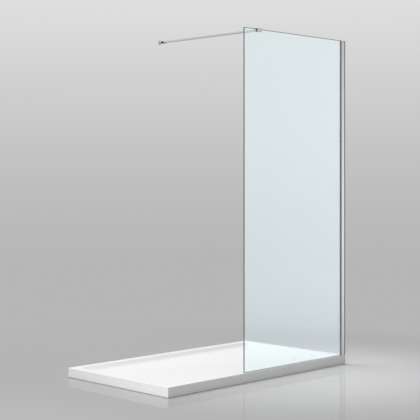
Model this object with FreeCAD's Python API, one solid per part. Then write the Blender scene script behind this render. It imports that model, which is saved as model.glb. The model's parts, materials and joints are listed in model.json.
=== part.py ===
"""Walk-in shower screen on a low tray: glass pane, two-part wall profile and swivelling support arm.

Millimetres. X runs along the tray towards the end wall, Y from the open front to the back wall, Z up.
The origin is the centre of the tray's underside.
"""
import FreeCAD, Part
import math
import os

Vector = FreeCAD.Vector
X_AXIS = Vector(1, 0, 0)
Y_AXIS = Vector(0, 1, 0)
Z_AXIS = Vector(0, 0, 1)

# Closeness that picks out the edges on a plane
NEAR = 0.01

# Driving dimensions of the tray
TRAY_LENGTH = 1500.0
TRAY_WIDTH = 850.0
TRAY_HEIGHT = 55.0
TRAY_CORNER_RADIUS = 2.5
TRAY_EDGE_RADIUS = 2.0
FOOT_REBATE_HEIGHT = 2.5
FOOT_REBATE_DEPTH = 5.0
RIM_WIDTH = 45.0
BASIN_DEPTH = 20.0
BASIN_SLOPE_RUN = 25.0
BASIN_CORNER_RADIUS = 48.0
BASIN_RIM_FILLET = 8.0
BASIN_FLOOR_FILLET = 16.0
FLOOR_FALL = 6.0
FLOOR_FALL_INSET = 20.0
FALL_CORNER_SHARE = 0.2

# Waste in the tray's floor
WASTE_X = 560.0
WASTE_Y = -235.0
WASTE_DISH_RADIUS = 62.0
WASTE_RECESS_RADIUS = 58.0
WASTE_RECESS_DEPTH = 11.0
WASTE_HOLE_RADIUS = 45.0
WASTE_FLANGE_RADIUS = 56.0
WASTE_FLANGE_THICKNESS = 3.0
WASTE_SPIGOT_OUTER_RADIUS = 43.0
WASTE_SPIGOT_INNER_RADIUS = 38.0
WASTE_SPIGOT_FLOOR_GAP = 1.0
WASTE_SEAL_THICKNESS = 1.0
COVER_RADIUS = 54.5
COVER_THICKNESS = 4.0
COVER_EDGE_RADIUS = 1.5
COVER_FOOT_RADIUS = 4.0
COVER_FOOT_HEIGHT = 3.5
COVER_FOOT_CIRCLE = 47.0
COVER_FOOT_COUNT = 3

# Glass pane
GLASS_THICKNESS = 8.0
GLASS_SETBACK = 7.0
GLASS_FREE_END_X = -158.0
GLASS_TOP_Z = 2005.0
GLASS_ARRIS = 0.8
SEAL_HEIGHT = 2.8
SEAL_RIM_GAP = 0.2

# Wall profile on the end wall
WALL_PROFILE_DEPTH = 35.5
WALL_PROFILE_WIDTH = 20.0
WALL_PROFILE_WALL = 1.8
WALL_PROFILE_EDGE_RADIUS = 1.2
WALL_PROFILE_TOP_Z = 2002.0
WALL_BEVEL_RUN = 13.0
WALL_BEVEL_DROP = 2.0
CAP_THICKNESS = 2.0
CAP_TAB_HEIGHT = 14.0
CAP_TAB_WIDTH = 11.0
CAP_NOTCH_CLEARANCE = 0.3
CAP_NOTCH_END_ROOM = 1.5
FIXING_HOLE_RADIUS = 2.75
FIXING_LOWER_Z = (205.0, 705.0)
FIXING_UPPER_Z = (1305.0, 1805.0)

# Glass profile that slides in the wall profile
PANEL_SLIDE_OUT = 5.0
PANEL_SLIDE_IN = 5.0
SLIDE_CLEARANCE = 0.2
CAP_RUNNING_GAP = 0.3
GLASS_PROFILE_NOSE = 8.0
GLASS_PROFILE_TAIL = 18.5
GLASS_PROFILE_LEG = 1.6
GLASS_PROFILE_WEB = 2.0
INNER_LIP_SETBACK = 4.5
NOSE_BEVEL_RUN = 8.0
NOSE_BEVEL_DROP = 1.3
GLASS_BITE = 10.0
GASKET_THICKNESS = 1.8
GASKET_NOSE_STANDOFF = 0.6
EDGE_BLOCK_THICKNESS = 3.0
EDGE_BLOCK_HEIGHT = 60.0
EDGE_BLOCK_Z = (160.0, 1000.0, 1880.0)

# Screws that lock the glass profile, on the shower side
LOCK_SCREW_Z = (330.0, 1030.0, 1730.0)
LOCK_SCREW_RADIUS = 2.0
LOCK_SCREW_HEAD_RADIUS = 3.8
LOCK_SCREW_HEAD_HEIGHT = 2.4
LOCK_SCREW_REACH = 9.0
LOCK_SCREW_SETBACK = 5.0
SLOT_CLEARANCE = 0.25
SCREW_COVER_HEIGHT = 13.0
SCREW_COVER_DEPTH = 4.6
SCREW_COVER_WALL = 1.2
SCREW_COVER_END_ROOM = 0.6
SCREW_COVER_EDGE_RADIUS = 0.8

# Clamp over the pane's top edge
ARM_INSET = 123.0
ARM_AXIS_Z = 1999.5
CLAMP_WIDTH = 40.0
CLAMP_BOTTOM_Z = 1989.0
CLAMP_TOP_Z = 2010.0
CLAMP_FRONT_CHEEK = 4.4
CLAMP_BACK_CHEEK = 11.8
CLAMP_EDGE_RADIUS = 1.4
LINER_THICKNESS = 1.6
LINER_STAND_OUT = 4.0
LINER_BOTTOM_Z = 1996.0
CLAMP_PLATE_THICKNESS = 1.6
CLAMP_PLATE_WIDTH = 32.0
CLAMP_PLATE_HEIGHT = 11.0
CLAMP_SCREW_RADIUS = 2.5
CLAMP_SCREW_SPREAD = 13.0
CLAMP_SCREW_Z = 1996.5
CLAMP_SCREW_SUNK = 1.0
HEX_SOCKET_RADIUS = 1.45
HEX_SOCKET_DEPTH = 2.5

# Swivels at both ends of the arm
LUG_THICKNESS = 5.6
KNUCKLE_THICKNESS = 10.0
KNUCKLE_SPIGOT_RADIUS = 4.0
SWIVEL_WASHER_THICKNESS = 0.7
SWIVEL_GAP = 0.05
PIVOT_RADIUS = 3.0
PIVOT_CLEARANCE = 0.05
WASHER_RADIUS = 5.5
PIN_SOCKET_RADIUS = 1.75
ARM_LUG_RADIUS = 7.0
ARM_PIVOT_REACH = 10.0
ARM_HUB_REACH = 8.0
ARM_HUB_LENGTH = 6.0
FORK_RADIUS = 8.6
FLANGE_EAR_RADIUS = 5.8
FLANGE_PIVOT_REACH = 7.5
COLLAR_REACH = 6.3
COLLAR_LENGTH = 6.0

# Bar, wall socket and wall flange
TUBE_RADIUS = 7.0
TUBE_WALL = 1.2
SPIGOT_LENGTH = 20.0
ARM_GRUB_RADIUS = 2.0
ARM_GRUB_LENGTH = 4.0
SOCKET_RADIUS = 8.6
SOCKET_CLEARANCE = 0.06
SOCKET_LENGTH = 22.0
SOCKET_END_WALL = 3.0
SOCKET_EDGE_RADIUS = 0.8
TUBE_BITE = 12.0
SOCKET_GRUB_RADIUS = 2.5
SOCKET_GRUB_FROM_MOUTH = 3.6
SOCKET_GRUB_TIP_GAP = 0.15
SOCKET_GRUB_TILT_DEG = 45.0
KEY_LENGTH = 14.0
KEY_HALF_SWEEP_DEG = 30.0
FLANGE_GASKET_THICKNESS = 1.0
FLANGE_RADIUS = 14.0
FLANGE_THICKNESS = 3.5
FLANGE_EDGE_RADIUS = 1.2
FLANGE_BOSS_RADIUS = 8.6
FLANGE_BOSS_LENGTH = 15.5
FLANGE_PIN_SUNK = 0.8
FLANGE_THREAD_RADIUS = 2.5

# Planes and centres worked out from the dimensions
END_WALL_X = TRAY_LENGTH / 2
BACK_WALL_Y = TRAY_WIDTH / 2
TRAY_FRONT_Y = -TRAY_WIDTH / 2
GLASS_FRONT_Y = TRAY_FRONT_Y + GLASS_SETBACK
GLASS_BACK_Y = GLASS_FRONT_Y + GLASS_THICKNESS
GLASS_MID_Y = GLASS_FRONT_Y + GLASS_THICKNESS / 2
SEAL_BOTTOM_Z = TRAY_HEIGHT + SEAL_RIM_GAP
GLASS_BOTTOM_Z = SEAL_BOTTOM_Z + SEAL_HEIGHT

WALL_PROFILE_MOUTH_X = END_WALL_X - WALL_PROFILE_DEPTH
WALL_PROFILE_BACK_Y = GLASS_MID_Y + WALL_PROFILE_WIDTH / 2
WEB_FACE_X = END_WALL_X - WALL_PROFILE_WALL
GLASS_PROFILE_NOSE_X = WALL_PROFILE_MOUTH_X - GLASS_PROFILE_NOSE
INNER_NOSE_X = GLASS_PROFILE_NOSE_X + INNER_LIP_SETBACK
GLASS_PROFILE_TAIL_X = END_WALL_X - GLASS_PROFILE_TAIL
GLASS_PROFILE_HALF = WALL_PROFILE_WIDTH / 2 - WALL_PROFILE_WALL - SLIDE_CLEARANCE
GLASS_EDGE_X = GLASS_PROFILE_NOSE_X + GLASS_BITE
GLASS_PROFILE_WEB_X = GLASS_EDGE_X + EDGE_BLOCK_THICKNESS
GLAZING_HALF = GLASS_THICKNESS / 2 + GASKET_THICKNESS
GLASS_PROFILE_TOP_Z = WALL_PROFILE_TOP_Z - CAP_RUNNING_GAP
LOCK_SCREW_X = GLASS_PROFILE_TAIL_X - LOCK_SCREW_SETBACK

ARM_X = GLASS_FREE_END_X + ARM_INSET
SLOT_FRONT_Y = GLASS_FRONT_Y - LINER_THICKNESS
SLOT_BACK_Y = GLASS_BACK_Y + LINER_THICKNESS + CLAMP_PLATE_THICKNESS
CLAMP_FRONT_Y = SLOT_FRONT_Y - CLAMP_FRONT_CHEEK
CLAMP_BACK_Y = SLOT_BACK_Y + CLAMP_BACK_CHEEK
ARM_PIVOT_Y = CLAMP_BACK_Y + ARM_PIVOT_REACH
FLANGE_FACE_Y = BACK_WALL_Y - FLANGE_GASKET_THICKNESS
FLANGE_BOSS_Y = FLANGE_FACE_Y - FLANGE_THICKNESS - FLANGE_BOSS_LENGTH
WALL_PIVOT_Y = FLANGE_BOSS_Y - FLANGE_PIVOT_REACH
COLLAR_FACE_Y = WALL_PIVOT_Y - COLLAR_REACH
SOCKET_END_Y = COLLAR_FACE_Y - COLLAR_LENGTH
SOCKET_MOUTH_Y = SOCKET_END_Y - SOCKET_LENGTH
TUBE_START_Y = ARM_PIVOT_Y + ARM_HUB_REACH + ARM_HUB_LENGTH
TUBE_END_Y = SOCKET_MOUTH_Y + TUBE_BITE
ARM_EAR_INNER = LUG_THICKNESS / 2 + SWIVEL_WASHER_THICKNESS + 2 * SWIVEL_GAP
WALL_EAR_INNER = KNUCKLE_THICKNESS / 2 + SWIVEL_WASHER_THICKNESS + 2 * SWIVEL_GAP
SOCKET_GRUB_AXIS = Vector(
    -math.cos(math.radians(SOCKET_GRUB_TILT_DEG)), 0, -math.sin(math.radians(SOCKET_GRUB_TILT_DEG))
)

BASIN_FLOOR_Z = TRAY_HEIGHT - BASIN_DEPTH
WASTE_DISH_Z = BASIN_FLOOR_Z - FLOOR_FALL
WASTE_RECESS_Z = WASTE_DISH_Z - WASTE_RECESS_DEPTH
FLANGE_SEAT_Z = WASTE_RECESS_Z + WASTE_SEAL_THICKNESS
COVER_SEAT_Z = FLANGE_SEAT_Z + WASTE_FLANGE_THICKNESS
COVER_BOTTOM_Z = COVER_SEAT_Z + COVER_FOOT_HEIGHT


def box(low, high):
    """Block between two opposite corners."""
    size = Vector(*high) - Vector(*low)
    return Part.makeBox(size.x, size.y, size.z, Vector(*low))


def cylinder(radius, start, axis, length):
    """Round bar from a point along an axis."""
    return Part.makeCylinder(radius, length, Vector(*start), axis)


def tube(outer, inner, start, axis, length):
    """Round tube from a point along an axis."""
    return cylinder(outer, start, axis, length).cut(cylinder(inner, start, axis, length))


def prism(points, direction):
    """Closed polygon pushed along a direction."""
    corners = [Vector(*point) for point in points]
    return Part.Face(Part.makePolygon(corners + corners[:1])).extrude(direction)


def rounded_rectangle(length, width, radius, height):
    """Wire of four lines and four corner arcs about the Z axis, from the right side anticlockwise."""
    edges = []
    half_x = length / 2 - radius
    half_y = width / 2 - radius
    centres = [(half_x, half_y), (-half_x, half_y), (-half_x, -half_y), (half_x, -half_y)]
    for turn, (centre_x, centre_y) in enumerate(centres):
        angles = [turn * math.pi / 2 + step * math.pi / 4 for step in range(3)]
        arc = [
            Vector(centre_x + radius * math.cos(angle), centre_y + radius * math.sin(angle), height)
            for angle in angles
        ]
        next_x, next_y = centres[(turn + 1) % 4]
        line_end = Vector(
            next_x + radius * math.cos(angles[2]), next_y + radius * math.sin(angles[2]), height
        )
        edges.append(Part.Arc(*arc).toShape())
        edges.append(Part.LineSegment(arc[2], line_end).toShape())
    return Part.Wire(edges)


def split_circle(centre_x, centre_y, radius, height, corner_share):
    """Circle in eight arcs that match a rounded rectangle's corners and sides in turn."""
    edges = []
    corner = math.pi / 2 * corner_share
    side = math.pi / 2 - corner
    angle = math.pi / 4 - corner / 2
    for sweep in (corner, side) * 4:
        arc = [
            Vector(
                centre_x + radius * math.cos(angle + sweep * share),
                centre_y + radius * math.sin(angle + sweep * share),
                height,
            )
            for share in (0, 0.5, 1)
        ]
        edges.append(Part.Arc(*arc).toShape())
        angle += sweep
    return Part.Wire(edges)


def edges_where(shape, keep):
    """Edges whose every vertex, and whose middle, pass a test."""
    chosen = []
    for edge in shape.Edges:
        middle = edge.valueAt((edge.FirstParameter + edge.LastParameter) / 2)
        points = [vertex.Point for vertex in edge.Vertexes] + [middle]
        if all(keep(point) for point in points):
            chosen.append(edge)
    return chosen


def hexagon_socket(radius, centre, axis, depth):
    """Six-sided socket sunk from a face along an axis."""
    across = Y_AXIS if abs(axis.y) < NEAR else Z_AXIS
    other = axis.cross(across)
    corners = [
        Vector(*centre) + across * (radius * math.cos(turn)) + other * (radius * math.sin(turn))
        for turn in (math.radians(60 * step) for step in range(6))
    ]
    return Part.Face(Part.makePolygon(corners + corners[:1])).extrude(axis * depth)


def grub_screw(radius, tip, axis, length):
    """Headless screw from its tip along an axis, with a socket in its far end."""
    end = Vector(*tip) + axis * length
    socket = hexagon_socket(HEX_SOCKET_RADIUS, end, axis * -1, HEX_SOCKET_DEPTH)
    return cylinder(radius, tip, axis, length).cut(socket)


def tongue(pivot_y, root_y, half_width, low_z, high_z):
    """Flat plate from a root plane to a round end about a vertical pivot on the arm's line."""
    plate = box(
        (ARM_X - half_width, min(pivot_y, root_y), low_z), (ARM_X + half_width, max(pivot_y, root_y), high_z)
    )
    end = cylinder(half_width, (ARM_X, pivot_y, low_z), Z_AXIS, high_z - low_z)
    return plate.fuse(end).removeSplitter()


def pivot_bore(pivot_y, clearance):
    """Vertical hole through a swivel."""
    start = (ARM_X, pivot_y, ARM_AXIS_Z - 2 * TUBE_RADIUS)
    return cylinder(PIVOT_RADIUS + clearance, start, Z_AXIS, 4 * TUBE_RADIUS)


def pivot_pin(pivot_y, half_height):
    """Swivel pin with a six-sided socket in its top."""
    start = (ARM_X, pivot_y, ARM_AXIS_Z - half_height)
    pin = cylinder(PIVOT_RADIUS, start, Z_AXIS, 2 * half_height)
    top = (ARM_X, pivot_y, ARM_AXIS_Z + half_height)
    return pin.cut(hexagon_socket(PIN_SOCKET_RADIUS, top, Z_AXIS * -1, HEX_SOCKET_DEPTH))


def pivot_washers(pivot_y, tongue_thickness):
    """Two thin washers, above and below the tongue that turns between the ears."""
    low = ARM_AXIS_Z - tongue_thickness / 2 - SWIVEL_GAP - SWIVEL_WASHER_THICKNESS
    high = ARM_AXIS_Z + tongue_thickness / 2 + SWIVEL_GAP
    bore = PIVOT_RADIUS + PIVOT_CLEARANCE
    return Part.makeCompound([
        tube(WASHER_RADIUS, bore, (ARM_X, pivot_y, base), Z_AXIS, SWIVEL_WASHER_THICKNESS)
        for base in (low, high)
    ])


def shower_tray():
    """Block on a set-back foot, with a sunk floor that falls to the waste, and the waste's seat."""
    tray = box((-END_WALL_X, TRAY_FRONT_Y, FOOT_REBATE_HEIGHT), (END_WALL_X, BACK_WALL_Y, TRAY_HEIGHT))
    corners = edges_where(
        tray, lambda point: abs(point.x) > END_WALL_X - NEAR and abs(point.y) > BACK_WALL_Y - NEAR
    )
    tray = tray.makeFillet(TRAY_CORNER_RADIUS, corners)
    tray = tray.makeFillet(TRAY_EDGE_RADIUS, edges_where(tray, lambda point: point.z > TRAY_HEIGHT - NEAR))
    tray = tray.fuse(box(
        (-END_WALL_X + FOOT_REBATE_DEPTH, TRAY_FRONT_Y + FOOT_REBATE_DEPTH, 0),
        (END_WALL_X - FOOT_REBATE_DEPTH, BACK_WALL_Y - FOOT_REBATE_DEPTH, 2 * FOOT_REBATE_HEIGHT),
    )).removeSplitter()

    rim_length = TRAY_LENGTH - 2 * RIM_WIDTH
    rim_width = TRAY_WIDTH - 2 * RIM_WIDTH
    floor_length = rim_length - 2 * BASIN_SLOPE_RUN
    floor_width = rim_width - 2 * BASIN_SLOPE_RUN
    floor_corner = BASIN_CORNER_RADIUS - BASIN_SLOPE_RUN
    basin = Part.makeLoft([
        rounded_rectangle(rim_length, rim_width, BASIN_CORNER_RADIUS, TRAY_HEIGHT),
        rounded_rectangle(floor_length, floor_width, floor_corner, BASIN_FLOOR_Z),
    ], True, True)
    tray = tray.cut(basin)

    def on_basin_rim(point):
        inside = abs(point.x) < rim_length / 2 + NEAR and abs(point.y) < rim_width / 2 + NEAR
        return inside and point.z > TRAY_HEIGHT - NEAR

    tray = tray.makeFillet(BASIN_RIM_FILLET, edges_where(tray, on_basin_rim))
    floor_edges = edges_where(tray, lambda point: abs(point.z - BASIN_FLOOR_Z) < NEAR)
    tray = tray.makeFillet(BASIN_FLOOR_FILLET, floor_edges)

    fall_length = floor_length - 2 * FLOOR_FALL_INSET
    fall_width = floor_width - 2 * FLOOR_FALL_INSET
    fall = Part.makeLoft([
        rounded_rectangle(fall_length, fall_width, floor_corner, BASIN_FLOOR_Z),
        split_circle(WASTE_X, WASTE_Y, WASTE_DISH_RADIUS, WASTE_DISH_Z, FALL_CORNER_SHARE),
    ], True, True)
    tray = tray.cut(fall)

    recess_height = TRAY_HEIGHT - WASTE_RECESS_Z
    recess = cylinder(WASTE_RECESS_RADIUS, (WASTE_X, WASTE_Y, WASTE_RECESS_Z), Z_AXIS, recess_height)
    hole = cylinder(WASTE_HOLE_RADIUS, (WASTE_X, WASTE_Y, 0), Z_AXIS, TRAY_HEIGHT)
    return tray.cut(recess).cut(hole)


def waste_flange():
    """Flat ring on the recess's floor with a spigot down through the tray's hole."""
    spigot_height = FLANGE_SEAT_Z - WASTE_SPIGOT_FLOOR_GAP
    ring = cylinder(WASTE_FLANGE_RADIUS, (WASTE_X, WASTE_Y, FLANGE_SEAT_Z), Z_AXIS, WASTE_FLANGE_THICKNESS)
    spigot = cylinder(
        WASTE_SPIGOT_OUTER_RADIUS, (WASTE_X, WASTE_Y, WASTE_SPIGOT_FLOOR_GAP), Z_AXIS, spigot_height
    )
    bore = cylinder(WASTE_SPIGOT_INNER_RADIUS, (WASTE_X, WASTE_Y, 0), Z_AXIS, TRAY_HEIGHT)
    return ring.fuse(spigot).cut(bore).removeSplitter()


def waste_seal():
    """Flat ring between the waste flange and the tray."""
    start = (WASTE_X, WASTE_Y, WASTE_RECESS_Z)
    return tube(WASTE_FLANGE_RADIUS, WASTE_HOLE_RADIUS, start, Z_AXIS, WASTE_SEAL_THICKNESS)


def waste_cover():
    """Round plate with a rounded top edge."""
    plate = cylinder(COVER_RADIUS, (WASTE_X, WASTE_Y, COVER_BOTTOM_Z), Z_AXIS, COVER_THICKNESS)
    top = COVER_BOTTOM_Z + COVER_THICKNESS
    return plate.makeFillet(COVER_EDGE_RADIUS, edges_where(plate, lambda point: point.z > top - NEAR))


def cover_feet():
    """Round feet that hold the cover above the waste flange."""
    feet = []
    for number in range(COVER_FOOT_COUNT):
        turn = 2 * math.pi * number / COVER_FOOT_COUNT
        foot_x = WASTE_X + COVER_FOOT_CIRCLE * math.cos(turn)
        foot_y = WASTE_Y + COVER_FOOT_CIRCLE * math.sin(turn)
        feet.append(cylinder(COVER_FOOT_RADIUS, (foot_x, foot_y, COVER_SEAT_Z), Z_AXIS, COVER_FOOT_HEIGHT))
    return Part.makeCompound(feet)


def glass_pane():
    """Flat pane with arrissed edges."""
    pane = box(
        (GLASS_FREE_END_X, GLASS_FRONT_Y, GLASS_BOTTOM_Z), (GLASS_EDGE_X, GLASS_BACK_Y, GLASS_TOP_Z)
    )
    rims = edges_where(
        pane, lambda point: min(abs(point.y - GLASS_FRONT_Y), abs(point.y - GLASS_BACK_Y)) < NEAR
    )
    return pane.makeChamfer(GLASS_ARRIS, rims)


def bottom_seal():
    """Strip under the pane, from its free end to the glass profile."""
    return box(
        (GLASS_FREE_END_X, GLASS_FRONT_Y + GLASS_ARRIS, SEAL_BOTTOM_Z),
        (GLASS_PROFILE_NOSE_X, GLASS_BACK_Y - GLASS_ARRIS, GLASS_BOTTOM_Z),
    )


def channel_outline(inset, wall_x):
    """Outline of the wall profile about the pane's middle plane: parallel sides, then bevels to the wall."""
    half = WALL_PROFILE_WIDTH / 2 - inset
    bevel_x = END_WALL_X - WALL_BEVEL_RUN
    drop = WALL_BEVEL_DROP * (wall_x - bevel_x) / WALL_BEVEL_RUN
    side = [(WALL_PROFILE_MOUTH_X, half), (bevel_x, half), (wall_x, half - drop)]
    near = [(x, GLASS_MID_Y - y) for x, y in side]
    far = [(x, GLASS_MID_Y + y) for x, y in reversed(side)]
    return near + far


def channel_block(inset, wall_x, low_z, high_z):
    """Upright block on the wall profile's outline."""
    points = [(x, y, low_z) for x, y in channel_outline(inset, wall_x)]
    return prism(points, Z_AXIS * (high_z - low_z))


def ease_mouth(block):
    """Block with its two upright edges at the channel's mouth rounded."""
    half = WALL_PROFILE_WIDTH / 2
    uprights = edges_where(
        block,
        lambda point: point.x < WALL_PROFILE_MOUTH_X + NEAR and abs(point.y - GLASS_MID_Y) > half - NEAR,
    )
    return block.makeFillet(WALL_PROFILE_EDGE_RADIUS, uprights)


def wall_profile():
    """Channel open towards the pane, with fixing holes in its web and lock slots in its shower side."""
    profile = ease_mouth(channel_block(0, END_WALL_X, TRAY_HEIGHT, WALL_PROFILE_TOP_Z))
    profile = profile.cut(channel_block(WALL_PROFILE_WALL, WEB_FACE_X, TRAY_HEIGHT, WALL_PROFILE_TOP_Z))
    for hole_z in FIXING_LOWER_Z + FIXING_UPPER_Z:
        start = (WEB_FACE_X, GLASS_MID_Y, hole_z)
        profile = profile.cut(cylinder(FIXING_HOLE_RADIUS, start, X_AXIS, WALL_PROFILE_WALL))
    slot_half = LOCK_SCREW_RADIUS + SLOT_CLEARANCE
    slot_y = WALL_PROFILE_BACK_Y - WALL_PROFILE_WALL
    ends = (LOCK_SCREW_X - PANEL_SLIDE_OUT, LOCK_SCREW_X + PANEL_SLIDE_IN)
    for screw_z in LOCK_SCREW_Z:
        slot = box(
            (ends[0], slot_y, screw_z - slot_half), (ends[1], WALL_PROFILE_BACK_Y, screw_z + slot_half)
        )
        for end_x in ends:
            slot = slot.fuse(cylinder(slot_half, (end_x, slot_y, screw_z), Y_AXIS, WALL_PROFILE_WALL))
        profile = profile.cut(slot)
    return profile


def wall_profile_cap():
    """Plate on the wall profile's top, notched for the pane, with a tab down inside."""
    top = WALL_PROFILE_TOP_Z + CAP_THICKNESS
    plate = ease_mouth(channel_block(0, END_WALL_X, WALL_PROFILE_TOP_Z, top))
    notch_half = GLASS_THICKNESS / 2 + CAP_NOTCH_CLEARANCE
    notch_end = GLASS_EDGE_X + PANEL_SLIDE_IN + CAP_NOTCH_END_ROOM
    notch = box(
        (WALL_PROFILE_MOUTH_X, GLASS_MID_Y - notch_half, WALL_PROFILE_TOP_Z),
        (notch_end, GLASS_MID_Y + notch_half, top),
    )
    tab = box(
        (END_WALL_X - WALL_BEVEL_RUN, GLASS_MID_Y - CAP_TAB_WIDTH / 2, WALL_PROFILE_TOP_Z - CAP_TAB_HEIGHT),
        (WEB_FACE_X, GLASS_MID_Y + CAP_TAB_WIDTH / 2, WALL_PROFILE_TOP_Z),
    )
    return plate.cut(notch).fuse(tab).removeSplitter()


def glass_profile():
    """H-shaped strip: bevelled lips round the pane's edge, the inner one shorter, and two legs behind."""
    height = GLASS_PROFILE_TOP_Z - SEAL_BOTTOM_Z
    web_back_x = GLASS_PROFILE_WEB_X + GLASS_PROFILE_WEB
    leg_half = GLASS_PROFILE_HALF - GLASS_PROFILE_LEG

    def half_outline(nose_x):
        """From the middle plane round one lip to the tail, as distances from that plane."""
        return [
            (nose_x, 0),
            (nose_x, GLASS_PROFILE_HALF - NOSE_BEVEL_DROP),
            (nose_x + NOSE_BEVEL_RUN, GLASS_PROFILE_HALF),
            (GLASS_PROFILE_TAIL_X, GLASS_PROFILE_HALF),
        ]

    front = half_outline(GLASS_PROFILE_NOSE_X)
    back = reversed(half_outline(INNER_NOSE_X))
    outline = [(x, GLASS_MID_Y - y, SEAL_BOTTOM_Z) for x, y in front]
    outline += [(x, GLASS_MID_Y + y, SEAL_BOTTOM_Z) for x, y in back]
    profile = prism(outline, Z_AXIS * height)
    glazing = box(
        (GLASS_PROFILE_NOSE_X - 1, GLASS_MID_Y - GLAZING_HALF, SEAL_BOTTOM_Z - 1),
        (GLASS_PROFILE_WEB_X, GLASS_MID_Y + GLAZING_HALF, GLASS_TOP_Z),
    )
    tail = box(
        (web_back_x, GLASS_MID_Y - leg_half, SEAL_BOTTOM_Z - 1),
        (GLASS_PROFILE_TAIL_X + 1, GLASS_MID_Y + leg_half, GLASS_TOP_Z),
    )
    profile = profile.cut(glazing).cut(tail)
    for screw_z in LOCK_SCREW_Z:
        start = (LOCK_SCREW_X, GLASS_MID_Y, screw_z)
        profile = profile.cut(cylinder(LOCK_SCREW_RADIUS, start, Y_AXIS, WALL_PROFILE_WIDTH))
    return profile


def glazing_gasket(side, nose_x):
    """Strip between the pane and one lip of the glass profile, with a rounded nose."""
    inner = GLASS_THICKNESS / 2
    faces = sorted((GLASS_MID_Y + side * inner, GLASS_MID_Y + side * GLAZING_HALF))
    strip = box(
        (nose_x - GASKET_NOSE_STANDOFF, faces[0], GLASS_BOTTOM_Z),
        (GLASS_EDGE_X, faces[1], GLASS_PROFILE_TOP_Z),
    )
    nose = edges_where(
        strip,
        lambda point: point.x < nose_x and abs(point.y - GLASS_MID_Y) > GLAZING_HALF - NEAR,
    )
    return strip.makeFillet(GASKET_NOSE_STANDOFF, nose)


def edge_blocks():
    """Blocks between the pane's edge and the glass profile's web."""
    half = GLASS_THICKNESS / 2
    return Part.makeCompound([
        box(
            (GLASS_EDGE_X, GLASS_MID_Y - half, middle - EDGE_BLOCK_HEIGHT / 2),
            (GLASS_PROFILE_WEB_X, GLASS_MID_Y + half, middle + EDGE_BLOCK_HEIGHT / 2),
        )
        for middle in EDGE_BLOCK_Z
    ])


def lock_screws():
    """Pan-head screws through the wall profile's slots into the glass profile's leg."""
    screws = []
    for screw_z in LOCK_SCREW_Z:
        seat = (LOCK_SCREW_X, WALL_PROFILE_BACK_Y + SLIDE_CLEARANCE / 2, screw_z)
        head = cylinder(LOCK_SCREW_HEAD_RADIUS, seat, Y_AXIS, LOCK_SCREW_HEAD_HEIGHT)
        top_y = seat[1] + LOCK_SCREW_HEAD_HEIGHT
        top_rim = edges_where(head, lambda point: point.y > top_y - NEAR)
        head = head.makeFillet(LOCK_SCREW_HEAD_HEIGHT / 3, top_rim)
        shank = cylinder(LOCK_SCREW_RADIUS, seat, Y_AXIS * -1, LOCK_SCREW_REACH)
        top = (LOCK_SCREW_X, top_y, screw_z)
        socket = hexagon_socket(HEX_SOCKET_RADIUS, top, Y_AXIS * -1, HEX_SOCKET_DEPTH / 2)
        screws.append(head.fuse(shank).cut(socket).removeSplitter())
    return Part.makeCompound(screws)


def lock_screw_covers():
    """Hollow caps on the wall profile's shower side, long enough for the screws' travel."""
    covers = []
    low_x = LOCK_SCREW_X - PANEL_SLIDE_OUT - LOCK_SCREW_HEAD_RADIUS - SCREW_COVER_END_ROOM
    high_x = LOCK_SCREW_X + PANEL_SLIDE_IN + LOCK_SCREW_HEAD_RADIUS + SCREW_COVER_END_ROOM
    face_y = WALL_PROFILE_BACK_Y + SCREW_COVER_DEPTH
    for screw_z in LOCK_SCREW_Z:
        low_z = screw_z - SCREW_COVER_HEIGHT / 2
        high_z = screw_z + SCREW_COVER_HEIGHT / 2
        shell = box(
            (low_x - SCREW_COVER_WALL, WALL_PROFILE_BACK_Y, low_z),
            (high_x + SCREW_COVER_WALL, face_y, high_z),
        )
        rounded = [
            edge for edge in shell.Edges
            if max(vertex.Point.y for vertex in edge.Vertexes) > face_y - NEAR
        ]
        shell = shell.makeFillet(SCREW_COVER_EDGE_RADIUS, rounded)
        hollow = box(
            (low_x, WALL_PROFILE_BACK_Y - 1, low_z + SCREW_COVER_WALL),
            (high_x, face_y - SCREW_COVER_WALL, high_z - SCREW_COVER_WALL),
        )
        covers.append(shell.cut(hollow))
    return Part.makeCompound(covers)


def clamp_body():
    """Block slotted from below for the pane, with a lug behind it for the arm's fork."""
    half = CLAMP_WIDTH / 2
    block = box(
        (ARM_X - half, CLAMP_FRONT_Y, CLAMP_BOTTOM_Z), (ARM_X + half, CLAMP_BACK_Y, CLAMP_TOP_Z)
    )
    block = block.makeFillet(CLAMP_EDGE_RADIUS, block.Edges)
    slot = box(
        (ARM_X - half - 1, SLOT_FRONT_Y, CLAMP_BOTTOM_Z - 1),
        (ARM_X + half + 1, SLOT_BACK_Y, GLASS_TOP_Z + LINER_THICKNESS),
    )
    block = block.cut(slot)
    for side in (-1, 1):
        start = (ARM_X + side * CLAMP_SCREW_SPREAD, SLOT_BACK_Y - 1, CLAMP_SCREW_Z)
        block = block.cut(cylinder(CLAMP_SCREW_RADIUS, start, Y_AXIS, CLAMP_BACK_CHEEK + 2))
    half_lug = LUG_THICKNESS / 2
    root_y = CLAMP_BACK_Y - CLAMP_EDGE_RADIUS
    lug = tongue(ARM_PIVOT_Y, root_y, ARM_LUG_RADIUS, ARM_AXIS_Z - half_lug, ARM_AXIS_Z + half_lug)
    return block.fuse(lug).cut(pivot_bore(ARM_PIVOT_Y, PIVOT_CLEARANCE)).removeSplitter()


def clamp_liner():
    """Folded strip over the pane's top edge, standing out of the clamp towards the pane's free end."""
    half = CLAMP_WIDTH / 2
    low_x = ARM_X - half - LINER_STAND_OUT
    outer = box(
        (low_x, SLOT_FRONT_Y, LINER_BOTTOM_Z),
        (ARM_X + half, GLASS_BACK_Y + LINER_THICKNESS, GLASS_TOP_Z + LINER_THICKNESS),
    )
    inner = box((low_x - 1, GLASS_FRONT_Y, LINER_BOTTOM_Z - 1), (ARM_X + half + 1, GLASS_BACK_Y, GLASS_TOP_Z))
    return outer.cut(inner)


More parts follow.
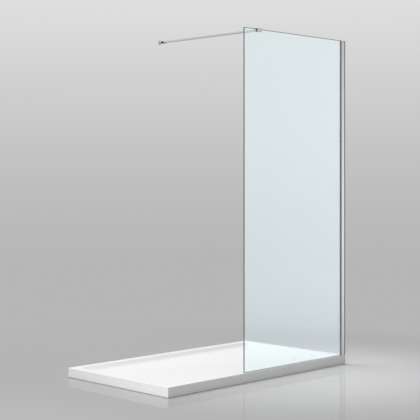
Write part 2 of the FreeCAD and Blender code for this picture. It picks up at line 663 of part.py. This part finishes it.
def clamp_plate():
    """Flat plate between the liner and the grub screws."""
    half = CLAMP_PLATE_WIDTH / 2
    return box(
        (ARM_X - half, SLOT_BACK_Y - CLAMP_PLATE_THICKNESS, CLAMP_SCREW_Z - CLAMP_PLATE_HEIGHT / 2),
        (ARM_X + half, SLOT_BACK_Y, CLAMP_SCREW_Z + CLAMP_PLATE_HEIGHT / 2),
    )


def clamp_grub_screws():
    """Two headless screws from behind, sunk a little in the back cheek."""
    length = CLAMP_BACK_CHEEK - CLAMP_SCREW_SUNK
    tips = [(ARM_X + side * CLAMP_SCREW_SPREAD, SLOT_BACK_Y, CLAMP_SCREW_Z) for side in (-1, 1)]
    return Part.makeCompound([grub_screw(CLAMP_SCREW_RADIUS, tip, Y_AXIS, length) for tip in tips])


def arm_fork():
    """Two ears about the clamp's lug, a round hub and a spigot inside the bar."""
    hub_y = ARM_PIVOT_Y + ARM_HUB_REACH
    ears = tongue(ARM_PIVOT_Y, hub_y, ARM_LUG_RADIUS, ARM_AXIS_Z - TUBE_RADIUS, ARM_AXIS_Z + TUBE_RADIUS)
    throat = box(
        (ARM_X - TUBE_RADIUS - 1, ARM_PIVOT_Y - ARM_LUG_RADIUS - 1, ARM_AXIS_Z - ARM_EAR_INNER),
        (ARM_X + TUBE_RADIUS + 1, hub_y, ARM_AXIS_Z + ARM_EAR_INNER),
    )
    envelope_start = (ARM_X, ARM_PIVOT_Y - ARM_LUG_RADIUS - 1, ARM_AXIS_Z)
    envelope = cylinder(FORK_RADIUS, envelope_start, Y_AXIS, 4 * ARM_LUG_RADIUS)
    hub = cylinder(TUBE_RADIUS, (ARM_X, hub_y, ARM_AXIS_Z), Y_AXIS, ARM_HUB_LENGTH)
    spigot = cylinder(TUBE_RADIUS - TUBE_WALL, (ARM_X, TUBE_START_Y, ARM_AXIS_Z), Y_AXIS, SPIGOT_LENGTH)
    fork = ears.cut(throat).common(envelope).fuse(hub).fuse(spigot)
    grub_y = TUBE_START_Y + SPIGOT_LENGTH / 2
    grub_seat = cylinder(
        ARM_GRUB_RADIUS, (ARM_X, grub_y, ARM_AXIS_Z - TUBE_RADIUS), Z_AXIS, ARM_GRUB_LENGTH
    )
    return fork.cut(pivot_bore(ARM_PIVOT_Y, 0)).cut(grub_seat).removeSplitter()


def arm_tube():
    """Plain round bar, drilled from below for its grub screw."""
    start = (ARM_X, TUBE_START_Y, ARM_AXIS_Z)
    bar = tube(TUBE_RADIUS, TUBE_RADIUS - TUBE_WALL, start, Y_AXIS, TUBE_END_Y - TUBE_START_Y)
    drill_start = (ARM_X, TUBE_START_Y + SPIGOT_LENGTH / 2, ARM_AXIS_Z - TUBE_RADIUS - 1)
    return bar.cut(cylinder(ARM_GRUB_RADIUS, drill_start, Z_AXIS, 2 * TUBE_WALL + 1))


def arm_grub_screw():
    """Headless screw from below into the fork's spigot."""
    tip = (ARM_X, TUBE_START_Y + SPIGOT_LENGTH / 2, ARM_AXIS_Z - TUBE_RADIUS + ARM_GRUB_LENGTH)
    return grub_screw(ARM_GRUB_RADIUS, tip, Z_AXIS * -1, ARM_GRUB_LENGTH)


def socket_key():
    """Curved strip in the wall of the socket, from its closed end, in line with its grub screw."""
    wide = 2 * SOCKET_RADIUS
    start_y = SOCKET_END_Y - KEY_LENGTH
    ring = tube(
        SOCKET_RADIUS, TUBE_RADIUS + SOCKET_CLEARANCE, (ARM_X, start_y, ARM_AXIS_Z), Y_AXIS, KEY_LENGTH
    )
    corners = [(ARM_X, start_y, ARM_AXIS_Z)]
    for side in (-1, 1):
        tilt = math.radians(SOCKET_GRUB_TILT_DEG + side * KEY_HALF_SWEEP_DEG)
        corners.append((ARM_X - wide * math.cos(tilt), start_y, ARM_AXIS_Z - wide * math.sin(tilt)))
    return ring.common(prism(corners, Y_AXIS * KEY_LENGTH))


def wall_socket():
    """Round sleeve over the bar's end, with a hole in its closed end and a slot below for the knuckle."""
    sleeve = cylinder(SOCKET_RADIUS, (ARM_X, SOCKET_MOUTH_Y, ARM_AXIS_Z), Y_AXIS, SOCKET_LENGTH)
    rims = edges_where(
        sleeve, lambda point: min(abs(point.y - SOCKET_MOUTH_Y), abs(point.y - SOCKET_END_Y)) < NEAR
    )
    sleeve = sleeve.makeFillet(SOCKET_EDGE_RADIUS, rims)
    bore = cylinder(
        TUBE_RADIUS + SOCKET_CLEARANCE, (ARM_X, SOCKET_MOUTH_Y - 1, ARM_AXIS_Z), Y_AXIS,
        SOCKET_LENGTH - SOCKET_END_WALL + 1,
    )
    seat = cylinder(KNUCKLE_SPIGOT_RADIUS, (ARM_X, SOCKET_MOUTH_Y, ARM_AXIS_Z), Y_AXIS, SOCKET_LENGTH)
    drill_start = (ARM_X, SOCKET_MOUTH_Y + SOCKET_GRUB_FROM_MOUTH, ARM_AXIS_Z)
    drill = cylinder(SOCKET_GRUB_RADIUS, drill_start, SOCKET_GRUB_AXIS, 2 * SOCKET_RADIUS)
    return sleeve.cut(bore).cut(seat).cut(drill).cut(socket_key())


def socket_knuckle():
    """Tongue between the flange's ears, a collar against the wall socket, and a spigot and a key in it."""
    half = KNUCKLE_THICKNESS / 2
    blade = tongue(WALL_PIVOT_Y, SOCKET_END_Y, FLANGE_EAR_RADIUS, ARM_AXIS_Z - half, ARM_AXIS_Z + half)
    collar = cylinder(SOCKET_RADIUS, (ARM_X, SOCKET_END_Y, ARM_AXIS_Z), Y_AXIS, COLLAR_LENGTH)
    face_rim = edges_where(collar, lambda point: abs(point.y - COLLAR_FACE_Y) < NEAR)
    collar = collar.makeFillet(SOCKET_EDGE_RADIUS, face_rim)
    spigot_start = (ARM_X, SOCKET_END_Y - SOCKET_END_WALL, ARM_AXIS_Z)
    spigot = cylinder(KNUCKLE_SPIGOT_RADIUS, spigot_start, Y_AXIS, SOCKET_END_WALL)
    knuckle = blade.fuse(collar).fuse(spigot).fuse(socket_key())
    return knuckle.cut(pivot_bore(WALL_PIVOT_Y, PIVOT_CLEARANCE)).removeSplitter()


def socket_grub_screw():
    """Headless screw that locks the bar in the wall socket, from below and from the open end's side."""
    middle = Vector(ARM_X, SOCKET_MOUTH_Y + SOCKET_GRUB_FROM_MOUTH, ARM_AXIS_Z)
    tip = middle + SOCKET_GRUB_AXIS * (TUBE_RADIUS + SOCKET_GRUB_TIP_GAP)
    end = middle + SOCKET_GRUB_AXIS * SOCKET_RADIUS
    length = SOCKET_RADIUS - TUBE_RADIUS - SOCKET_GRUB_TIP_GAP
    socket = hexagon_socket(HEX_SOCKET_RADIUS, end, SOCKET_GRUB_AXIS * -1, length / 2)
    return cylinder(SOCKET_GRUB_RADIUS, tip, SOCKET_GRUB_AXIS, length).cut(socket)


def wall_flange():
    """Round flange and boss with a threaded hole for the wall fixing, and two ears about the knuckle."""
    plate = cylinder(FLANGE_RADIUS, (ARM_X, FLANGE_FACE_Y, ARM_AXIS_Z), Y_AXIS * -1, FLANGE_THICKNESS)
    front_y = FLANGE_FACE_Y - FLANGE_THICKNESS
    front_rim = edges_where(plate, lambda point: abs(point.y - front_y) < NEAR)
    plate = plate.makeFillet(FLANGE_EDGE_RADIUS, front_rim)
    boss = cylinder(FLANGE_BOSS_RADIUS, (ARM_X, front_y, ARM_AXIS_Z), Y_AXIS * -1, FLANGE_BOSS_LENGTH)
    low_z = ARM_AXIS_Z - FLANGE_BOSS_RADIUS
    high_z = ARM_AXIS_Z + FLANGE_BOSS_RADIUS
    ears = tongue(WALL_PIVOT_Y, FLANGE_BOSS_Y, FLANGE_EAR_RADIUS, low_z, high_z)
    tip_y = WALL_PIVOT_Y - 2 * FLANGE_EAR_RADIUS
    throat = box(
        (ARM_X - FLANGE_RADIUS, tip_y, ARM_AXIS_Z - WALL_EAR_INNER),
        (ARM_X + FLANGE_RADIUS, FLANGE_BOSS_Y, ARM_AXIS_Z + WALL_EAR_INNER),
    )
    envelope = cylinder(FLANGE_BOSS_RADIUS, (ARM_X, tip_y, ARM_AXIS_Z), Y_AXIS, FLANGE_BOSS_Y - tip_y)
    thread = cylinder(
        FLANGE_THREAD_RADIUS, (ARM_X, FLANGE_BOSS_Y - 1, ARM_AXIS_Z), Y_AXIS,
        FLANGE_THICKNESS + FLANGE_BOSS_LENGTH + 2,
    )
    flange = plate.fuse(boss).fuse(ears.cut(throat).common(envelope)).cut(thread)
    return flange.cut(pivot_bore(WALL_PIVOT_Y, 0)).removeSplitter()


def flange_gasket():
    """Thin ring between the flange and the wall."""
    start = (ARM_X, FLANGE_FACE_Y, ARM_AXIS_Z)
    return tube(FLANGE_RADIUS, FLANGE_BOSS_RADIUS, start, Y_AXIS, FLANGE_GASKET_THICKNESS)


PIECES = {
    "shower_tray": shower_tray(),
    "waste_flange": waste_flange(),
    "waste_seal": waste_seal(),
    "waste_cover": waste_cover(),
    "cover_feet": cover_feet(),
    "wall_profile": wall_profile(),
    "wall_profile_cap": wall_profile_cap(),
    "lock_screw_covers": lock_screw_covers(),
    "glass_pane": glass_pane(),
    "bottom_seal": bottom_seal(),
    "glass_profile": glass_profile(),
    "outer_gasket": glazing_gasket(-1, GLASS_PROFILE_NOSE_X),
    "inner_gasket": glazing_gasket(1, INNER_NOSE_X),
    "edge_blocks": edge_blocks(),
    "lock_screws": lock_screws(),
    "clamp_body": clamp_body(),
    "clamp_liner": clamp_liner(),
    "clamp_plate": clamp_plate(),
    "clamp_grub_screws": clamp_grub_screws(),
    "arm_fork": arm_fork(),
    "arm_pivot_pin": pivot_pin(ARM_PIVOT_Y, TUBE_RADIUS),
    "arm_pivot_washers": pivot_washers(ARM_PIVOT_Y, LUG_THICKNESS),
    "arm_tube": arm_tube(),
    "arm_grub_screw": arm_grub_screw(),
    "wall_socket": wall_socket(),
    "socket_knuckle": socket_knuckle(),
    "socket_grub_screw": socket_grub_screw(),
    "wall_flange": wall_flange(),
    "wall_pivot_pin": pivot_pin(WALL_PIVOT_Y, FLANGE_BOSS_RADIUS - FLANGE_PIN_SUNK),
    "wall_pivot_washers": pivot_washers(WALL_PIVOT_Y, KNUCKLE_THICKNESS),
    "flange_gasket": flange_gasket(),
}

os.makedirs("parts", exist_ok=True)
for name, shape in PIECES.items():
    shape.exportStep("parts/" + name + ".step")
    print(name, "solids", len(shape.Solids), "valid", shape.isValid(), "volume_mm3", round(shape.Volume))
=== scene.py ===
"""Looks of a walk-in shower screen on its tray: the finishes of its pieces, the studio and the camera.

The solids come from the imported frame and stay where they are. Lengths are in metres. Along is the frame's X,
from the pane's free end to its profile, across is Y, from front to back, and up is Z.
"""
import json
import math

import bpy
import numpy as np
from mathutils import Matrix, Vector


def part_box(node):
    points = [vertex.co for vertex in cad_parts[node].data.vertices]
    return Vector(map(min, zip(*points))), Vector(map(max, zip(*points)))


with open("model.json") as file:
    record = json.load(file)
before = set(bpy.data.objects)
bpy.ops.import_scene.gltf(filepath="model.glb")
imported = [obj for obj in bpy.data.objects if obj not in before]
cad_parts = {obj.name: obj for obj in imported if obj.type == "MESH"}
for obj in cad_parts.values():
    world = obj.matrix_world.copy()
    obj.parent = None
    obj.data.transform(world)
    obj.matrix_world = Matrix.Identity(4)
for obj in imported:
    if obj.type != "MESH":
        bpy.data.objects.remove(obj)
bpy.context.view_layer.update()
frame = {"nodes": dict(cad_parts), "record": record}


def grey(level):
    """A neutral colour of that level."""
    return (level, level, level, 1)


# Camera: a level view from the front left, fitted to the photograph's straight edges
CAMERA_PLACE = (-4.659, -4.659, 1.1605)
CAMERA_YAW_DEG = 45.093
IMAGE_SIDE_PX = 420
FOCAL_LENGTH_PX = 1097.8
HORIZON_ROW_PX = 176.93
SENSOR_WIDTH_MM = 36.0

# Floor: it lies just under the tray, carries a painted pool of light in front, and turns into the backdrop's
# own grey further out. Each fade gives the distances at which it starts and ends
FLOOR_HALF_SIDE = 8.0
FLOOR_DROP = 0.0004
FLOOR_GREY = grey(0.43)
FLOOR_FADE = (1.0, 2.4)
# The pool is painted light: a paler grey put into the floor's colour, where no lamp adds light
PAINTED_LIGHT_POOL_PLACE = (0.50, -0.75)
PAINTED_LIGHT_POOL_GREY = grey(0.85)
PAINTED_LIGHT_POOL_FADE = (0.0, 1.65)
FLOOR_GLOSS = 0.07

# World: its directions are points on a unit sphere. Each rise, foot or top gives the two heights on it
# between which a shade comes in or goes out. AMBIENT_RISE does the same from front to back
FAR_GREY = grey(0.47)
HIGH_GREY = grey(0.90)
BACKDROP_RISE = (-0.10, 0.34)
AMBIENT_IN_FRONT = grey(0.18)
AMBIENT_LIGHT = grey(0.53)
AMBIENT_RISE = (-0.9, 0.1)

# The part of the world that only reflections meet. Edges are degrees to each side of the window's middle
SURROUND_ON_GLASS = grey(0.50)
BELOW_ON_METAL = grey(0.52)
ABOVE_ON_METAL = grey(0.68)
METAL_RISE = (-0.6, 0.1)
PALE_BAND = grey(1.0)
PALE_BAND_FOOT = (0.135, 0.18)
PALE_BAND_TOP = (0.40, 0.50)
WINDOW_AZIMUTH_DEG = -40.5
WINDOW_EDGE_DEG = (6.0, 10.0)
WINDOW_FOOT = (-0.247, -0.08)
WINDOW_TOP = (-0.02, 0.30)
WINDOW_ON_GLASS = (2.78, 2.95, 3.24, 1)
WINDOW_ON_METAL = (1.06, 1.08, 1.10, 1)
FLAG_EDGE_DEG = (26.0, 36.0)
FLAG_TOP = (0.28, 0.42)
FLAG_SHADE = grey(0.18)

# Lamps: the power is in watts
CEILING_LAMP = {"place": (0.3, 1.35, 3.7), "target": (0, 0, 0), "side": 2.6, "power": 89.0}
LEFT_LAMP = {"place": (-3.0, -1.1, 1.0), "target": (-0.6, -0.3, 0.05), "side": 1.2, "power": 36.5}

# Tray: the basin's duller finish goes out between these depths below the rim
BASIN_DEPTH = (0.019, 0.011)

# Pane: its ground edge faces start the margin in from its outline. Its top rim carries painted shade over the
# rim's height
EDGE_MARGIN = 0.0012
EDGE_GREEN = (0.22, 0.38, 0.34, 1)
EDGE_SHEEN = 0.35
EDGE_ROUGHNESS = 0.36
RIM_HEIGHT = (0.0025, 0.0040)
PAINTED_RIM_SHADE = (0.16, 0.22, 0.22, 1)
RIM_ROUGHNESS = 0.16
CLEAR_FACE = (0.985, 0.995, 0.995, 1)
BODY_TINT = (0.55, 0.90, 0.885, 1)
BODY_DENSITY = 20.0


class Value:
    """A number that changes over a surface. Arithmetic on it adds Math nodes to its tree."""

    def __init__(self, tree, socket):
        self.tree = tree
        self.socket = socket

    def math(self, operation, first, second):
        node = self.tree.add("Math", {"operation": operation}, {0: first, 1: second})
        return Value(self.tree, node.outputs[0])

    def __add__(self, other):
        return self.math("ADD", self, other)

    def __sub__(self, other):
        return self.math("SUBTRACT", self, other)

    def __rsub__(self, other):
        return self.math("SUBTRACT", other, self)

    def __mul__(self, other):
        return self.math("MULTIPLY", self, other)

    def __pow__(self, other):
        return self.math("POWER", self, other)

    def __gt__(self, other):
        return self.math("GREATER_THAN", self, other)

    def __lt__(self, other):
        return self.math("LESS_THAN", self, other)

    __radd__ = __add__
    __rmul__ = __mul__

    def larger(self, other):
        return self.math("MAXIMUM", self, other)

    def angle_from(self, other):
        return self.math("ARCTAN2", self, other)

    def rise(self, low, high):
        """0 up to low, 1 from high on, and a smooth step between them."""
        sockets = {"Value": self, "From Min": low, "From Max": high}
        node = self.tree.add("MapRange", {"interpolation_type": "SMOOTHSTEP"}, sockets)
        return Value(self.tree, node.outputs[0])

    def fall(self, low, high):
        """1 up to low, 0 from high on, and a smooth step between them."""
        return 1 - self.rise(low, high)


def distance(along, across):
    """The root of the sum of both squares."""
    return (along * along + across * across) ** 0.5


class Tree:
    """A node tree that is being filled, for one material or for the world."""

    MIX_FACTOR, MIX_FIRST, MIX_SECOND, MIX_RESULT = 0, 6, 7, 2

    def __init__(self, owner):
        owner.use_nodes = True
        self.owner = owner
        self.nodes = owner.node_tree.nodes
        self.links = owner.node_tree.links
        self.nodes.clear()

    def add(self, kind, settings, sockets):
        """Adds a node of that kind. Its settings come first, then the values or links of its sockets."""
        node = self.nodes.new("ShaderNode" + kind)
        for name, setting in settings.items():
            setattr(node, name, setting)
        for name, given in sockets.items():
            source = given.socket if isinstance(given, Value) else given
            if isinstance(source, bpy.types.NodeSocket):
                self.links.new(source, node.inputs[name])
            else:
                node.inputs[name].default_value = source
        return node

    def axes(self, vector):
        """The three numbers of a vector socket."""
        node = self.add("SeparateXYZ", {}, {"Vector": vector})
        return [Value(self, socket) for socket in node.outputs]

    def place(self):
        """The point on the surface, in the object's own frame."""
        return self.add("TexCoord", {}, {}).outputs["Object"]

    def light_path(self):
        """What is known of the ray that meets the surface, by name."""
        return {name: Value(self, socket) for name, socket in self.add("LightPath", {}, {}).outputs.items()}

    def mirrored(self):
        """1 where the ray has met a glossy surface before, else 0."""
        return self.light_path()["Glossy Depth"] > 0.5

    def noise(self, grain, stretch=(1, 1, 1), detail=2.0):
        """Noise from 0 to 1. Its specks are of about the grain's size, and longer where stretch is small."""
        mapping = self.add("Mapping", {}, {"Vector": self.place(), "Scale": stretch})
        sockets = {"Vector": mapping.outputs[0], "Scale": 1 / grain, "Detail": detail}
        return Value(self, self.add("TexNoise", {}, sockets).outputs[0])

    def blend(self, share, first, second):
        """The first colour where share is 0, and the second where it is 1."""
        sockets = {self.MIX_FACTOR: share, self.MIX_FIRST: first, self.MIX_SECOND: second}
        return self.add("Mix", {"data_type": "RGBA"}, sockets).outputs[self.MIX_RESULT]

    def bump(self, height, depth):
        """A normal that follows a height from 0 to 1, which stands for that depth."""
        return self.add("Bump", {}, {"Height": height, "Distance": depth}).outputs[0]

    def surface(self, sockets, volume=None):
        """Ends the tree in a Principled surface, with a volume inside it where one is given."""
        shader = self.add("BsdfPrincipled", {}, sockets).outputs[0]
        ends = {"Surface": shader} if volume is None else {"Surface": shader, "Volume": volume}
        self.add("OutputMaterial", {}, ends)
        return self.owner


def finish_tree(name):
    """The empty tree of a new finish."""
    return Tree(bpy.data.materials.new(name))


def tray_acrylic():
    """Glossy white acrylic: a faint mould ripple, a slightly duller basin and a trace of use in the gloss."""
    tree = finish_tree("tray_acrylic")
    cloud = tree.noise(grain=0.30, detail=3.0)
    peel = tree.noise(grain=0.010)
    scuff = tree.noise(grain=0.05, stretch=(1, 0.25, 1))
    height = tree.axes(tree.place())[2]
    rim_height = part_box("shower_tray")[1].z
    basin = height.fall(*(rim_height - depth for depth in BASIN_DEPTH))
    return tree.surface({
        "Base Color": tree.blend(cloud, (0.895, 0.895, 0.89, 1), (0.915, 0.915, 0.91, 1)),
        "Roughness": 0.15 + 0.03 * cloud + 0.015 * scuff + 0.08 * basin,
        "Normal": tree.bump(peel, depth=0.000002),
        "Coat Weight": 0.25,
        "Coat Roughness": 0.06,
    })


def waste_plastic():
    """Moulded grey plastic with a fine grain."""
    tree = finish_tree("waste_plastic")
    grain = tree.noise(grain=0.0012, detail=3.0)
    return tree.surface({
        "Base Color": tree.blend(grain, (0.58, 0.59, 0.60, 1), (0.64, 0.65, 0.66, 1)),
        "Roughness": 0.42 + 0.14 * grain,
        "Normal": tree.bump(grain, depth=0.00004),
    })


def clear_glass():
    """Clear toughened glass: polished faces, satin green edges, painted shade along the top rim and a
    blue-green body.
    """
    tree = finish_tree("clear_glass")
    low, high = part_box("glass_pane")
    along, _, up = tree.axes(tree.place())
    side_edge = (along < low.x + EDGE_MARGIN).larger(along > high.x - EDGE_MARGIN)
    end_edge = (up < low.z + EDGE_MARGIN).larger(up > high.z - EDGE_MARGIN)
    edge = side_edge.larger(end_edge)
    # Painted shade: a dark band in the glass's colour just under its top edge
    painted_rim_shade = (high.z - up).fall(*RIM_HEIGHT)
    face = tree.blend(painted_rim_shade, CLEAR_FACE, PAINTED_RIM_SHADE)
    body = tree.add("VolumeAbsorption", {}, {"Color": BODY_TINT, "Density": BODY_DENSITY})
    return tree.surface({
        "Base Color": tree.blend(edge, face, EDGE_GREEN),
        "Metallic": EDGE_SHEEN * edge,
        "Roughness": (EDGE_ROUGHNESS * edge).larger(RIM_ROUGHNESS * painted_rim_shade),
        "Transmission Weight": 1.0,
        "IOR": 1.52,
    }, body.outputs[0])


def clear_seal():
    """Soft clear vinyl, a little cloudy."""
    tree = finish_tree("clear_seal")
    cloud = tree.noise(grain=0.01, stretch=(0.2, 1, 1))
    return tree.surface({
        "Base Color": tree.blend(cloud, (0.66, 0.73, 0.74, 1), (0.76, 0.82, 0.83, 1)),
        "Roughness": 0.30 + 0.12 * cloud,
        "Transmission Weight": 0.6,
        "IOR": 1.48,
    })


def polished_aluminium():
    """Drawn aluminium with a satin polish: fine die lines run along its length and break up the sheen."""
    tree = finish_tree("polished_aluminium")
    lines = tree.noise(grain=0.0007, stretch=(1, 1, 0.003), detail=3.0)
    haze = tree.noise(grain=0.15, stretch=(1, 1, 0.35))
    return tree.surface({
        "Base Color": tree.blend(haze, (0.76, 0.765, 0.77, 1), (0.82, 0.825, 0.83, 1)),
        "Metallic": 1.0,
        "Roughness": 0.15 + 0.06 * lines + 0.03 * haze,
        "Normal": tree.bump(lines, depth=0.00001),
    })


def profile_plastic():
    """Silver moulded plastic that matches the profile."""
    tree = finish_tree("profile_plastic")
    grain = tree.noise(grain=0.0009, detail=3.0)
    return tree.surface({
        "Base Color": tree.blend(grain, (0.60, 0.605, 0.61, 1), (0.68, 0.685, 0.69, 1)),
        "Metallic": 0.55,
        "Roughness": 0.32 + 0.12 * grain,
        "Normal": tree.bump(grain, depth=0.00003),
    })


def chrome_plate():
    """Bright chrome with a slight ripple, and a trace of dried water in the gloss."""
    tree = finish_tree("chrome_plate")
    film = tree.noise(grain=0.03, detail=4.0)
    spots = tree.noise(grain=0.004).rise(0.62, 0.75)
    ripple = tree.noise(grain=0.008)
    return tree.surface({
        "Base Color": tree.blend(film, (0.70, 0.705, 0.71, 1), (0.76, 0.765, 0.77, 1)),
        "Metallic": 1.0,
        "Roughness": 0.05 + 0.05 * film + 0.06 * spots,
        "Normal": tree.bump(ripple, depth=0.00001),
    })


def screw_steel():
    """Bright steel with fine turning marks."""
    tree = finish_tree("screw_steel")
    marks = tree.noise(grain=0.0004, stretch=(0.2, 0.2, 1), detail=3.0)
    return tree.surface({
        "Base Color": tree.blend(marks, (0.50, 0.50, 0.495, 1), (0.62, 0.62, 0.61, 1)),
        "Metallic": 1.0,
        "Roughness": 0.26 + 0.16 * marks,
        "Normal": tree.bump(marks, depth=0.00001),
    })


def soft_black(name, shade, roughness, grain_size):
    """Black rubber, nylon or oxide: a fine grain in colour, gloss and height."""
    tree = finish_tree(name)
    grain = tree.noise(grain=grain_size, detail=4.0)
    dark = (shade * 0.8, shade * 0.8, shade * 0.82, 1)
    light = (shade * 1.3, shade * 1.3, shade * 1.32, 1)
    return tree.surface({
        "Base Color": tree.blend(grain, dark, light),
        "Roughness": roughness + 0.18 * grain,
        "Normal": tree.bump(grain, depth=0.00003),
    })


def dress_nodes():
    """Gives each node the finish of the material slot that the record names for it."""
    finishes = {
        "tray_acrylic": tray_acrylic(),
        "waste_plastic": waste_plastic(),
        "clear_glass": clear_glass(),
        "clear_seal": clear_seal(),
        "polished_aluminium": polished_aluminium(),
        "profile_plastic": profile_plastic(),
        "chrome_plate": chrome_plate(),
        "screw_steel": screw_steel(),
        "black_steel": soft_black("black_steel", shade=0.030, roughness=0.30, grain_size=0.0005),
        "black_rubber": soft_black("black_rubber", shade=0.028, roughness=0.58, grain_size=0.0010),
        "black_nylon": soft_black("black_nylon", shade=0.024, roughness=0.38, grain_size=0.0007),
    }
    for subpart in frame["record"]["subparts"]:
        mesh = frame["nodes"][subpart["node"]].data
        mesh.materials.clear()
        mesh.materials.append(finishes[subpart["material_slot"]])
    # Light passes through the clear pieces, so they cast no shadow
    for name in ("glass_pane", "bottom_seal"):
        frame["nodes"][name].visible_shadow = False


def grid_mesh(name, points):
    """A mesh of quads through a grid of points: one face between each four neighbours."""
    rows, columns = points.shape[:2]
    corner = np.arange(rows * columns).reshape(rows, columns)
    faces = np.stack([corner[:-1, :-1], corner[1:, :-1], corner[1:, 1:], corner[:-1, 1:]], axis=-1)
    mesh = bpy.data.meshes.new(name)
    mesh.from_pydata(points.reshape(-1, 3).tolist(), [], faces.reshape(-1, 4).tolist())
    obj = bpy.data.objects.new(name, mesh)
    bpy.context.scene.collection.objects.link(obj)
    return obj


def floor_finish():
    """A floor with a slight polish and a painted pool of light in front. Further out it turns into the
    backdrop's grey.

    Reflections look through it, so that the window lies whole in the pane.
    """
    tree = finish_tree("studio_floor")
    along, across, _ = tree.axes(tree.place())
    fade = distance(along, across).rise(*FLOOR_FADE)
    # Painted light: a paler pool in the floor's colour, palest at its middle
    painted_light_pool = distance(along - PAINTED_LIGHT_POOL_PLACE[0], across - PAINTED_LIGHT_POOL_PLACE[1]).fall(*PAINTED_LIGHT_POOL_FADE)
    near = tree.add("BsdfPrincipled", {}, {
        "Base Color": tree.blend(painted_light_pool, FLOOR_GREY, PAINTED_LIGHT_POOL_GREY),
        "Roughness": 0.0,
        "Specular IOR Level": FLOOR_GLOSS,
    })
    far = tree.add("Emission", {}, {"Color": FAR_GREY})
    plain = tree.add("MixShader", {}, {0: fade, 1: near.outputs[0], 2: far.outputs[0]})
    clear = tree.add("BsdfTransparent", {}, {})
    mixed = tree.add("MixShader", {}, {0: tree.mirrored(), 1: plain.outputs[0], 2: clear.outputs[0]})
    tree.add("OutputMaterial", {}, {"Surface": mixed.outputs[0]})
    return tree.owner


def studio_floor():
    """A flat square under the tray: both parameters run straight from one side to the other."""
    span = np.array([-FLOOR_HALF_SIDE, FLOOR_HALF_SIDE])
    along, across = np.meshgrid(span, span, indexing="ij")
    floor = grid_mesh("studio_floor", np.stack([along, across, np.full_like(along, -FLOOR_DROP)], axis=-1))
    floor.data.materials.append(floor_finish())


def studio_world():
    """A grey backdrop that grows lighter upwards, a plain light for matt surfaces, and a surround for gloss.

    The plain light is weaker from the front. The surround is a plain grey on glass. On metal it is a grey
    that grows lighter upwards, with a pale band just above the horizon. To the right of the pane's front
    stand a window, a soft-edged upright band of pale daylight, and a dark flag on each side of it. Only
    reflections meet the surround, so it never stands in a picture's background.
    """
    tree = Tree(bpy.data.worlds.new("studio"))
    bpy.context.scene.world = tree.owner
    along, across, up = tree.axes(tree.add("TexCoord", {}, {}).outputs["Generated"])
    path = tree.light_path()
    direct = path["Diffuse Depth"] < 0.5
    seen = (path["Is Camera Ray"] + path["Is Glossy Ray"] + path["Is Transmission Ray"]) * direct
    mirrored = tree.mirrored() * direct
    on_glass = path["Is Singular Ray"]

    turn = across.angle_from(along) - math.radians(WINDOW_AZIMUTH_DEG)
    off_centre = turn.larger(turn * -1.0)
    window_width = off_centre.fall(*map(math.radians, WINDOW_EDGE_DEG))
    window = window_width * up.rise(*WINDOW_FOOT) * up.fall(*WINDOW_TOP)
    flag = off_centre.fall(*map(math.radians, FLAG_EDGE_DEG)) * up.fall(*FLAG_TOP)
    pale_band = up.rise(*PALE_BAND_FOOT) * up.fall(*PALE_BAND_TOP)

    ambient = tree.blend(across.rise(*AMBIENT_RISE), AMBIENT_IN_FRONT, AMBIENT_LIGHT)
    backdrop = tree.blend(up.rise(*BACKDROP_RISE), FAR_GREY, HIGH_GREY)
    surround = tree.blend(up.rise(*METAL_RISE), BELOW_ON_METAL, ABOVE_ON_METAL)
    surround = tree.blend(pale_band, surround, PALE_BAND)
    surround = tree.blend(on_glass, surround, SURROUND_ON_GLASS)
    window_light = tree.blend(on_glass, WINDOW_ON_METAL, WINDOW_ON_GLASS)
    colour = tree.blend(seen, ambient, backdrop)
    colour = tree.blend(mirrored, colour, surround)
    colour = tree.blend(flag * mirrored, colour, FLAG_SHADE)
    colour = tree.blend(window * mirrored, colour, window_light)
    shader = tree.add("Background", {}, {"Color": colour})
    tree.add("OutputWorld", {}, {"Surface": shader.outputs[0]})


def softbox(name, place, target, side, power):
    """A square soft lamp that points at a target and isn't seen itself."""
    light = bpy.data.lights.new(name, "AREA")
    light.size = side
    light.energy = power
    lamp = bpy.data.objects.new(name, light)
    bpy.context.scene.collection.objects.link(lamp)
    lamp.location = place
    aim = Vector(target) - Vector(place)
    lamp.rotation_euler = aim.to_track_quat("-Z", "Y").to_euler()
    lamp.visible_camera = False
    lamp.visible_glossy = False
    lamp.visible_transmission = False


def photo_camera():
    """A level camera whose picture is shifted down, so that uprights stay upright."""
    data = bpy.data.cameras.new("camera")
    data.sensor_width = SENSOR_WIDTH_MM
    data.lens = FOCAL_LENGTH_PX * SENSOR_WIDTH_MM / IMAGE_SIDE_PX
    data.shift_y = (HORIZON_ROW_PX - IMAGE_SIDE_PX / 2) / IMAGE_SIDE_PX
    camera = bpy.data.objects.new("camera", data)
    bpy.context.scene.collection.objects.link(camera)
    camera.location = CAMERA_PLACE
    camera.rotation_euler = (math.radians(90), 0, math.radians(CAMERA_YAW_DEG - 90))
    bpy.context.scene.camera = camera


dress_nodes()
studio_floor()
studio_world()
softbox("ceiling_softbox", **CEILING_LAMP)
softbox("left_softbox", **LEFT_LAMP)
photo_camera()
bpy.context.scene.view_settings.view_transform = "Standard"
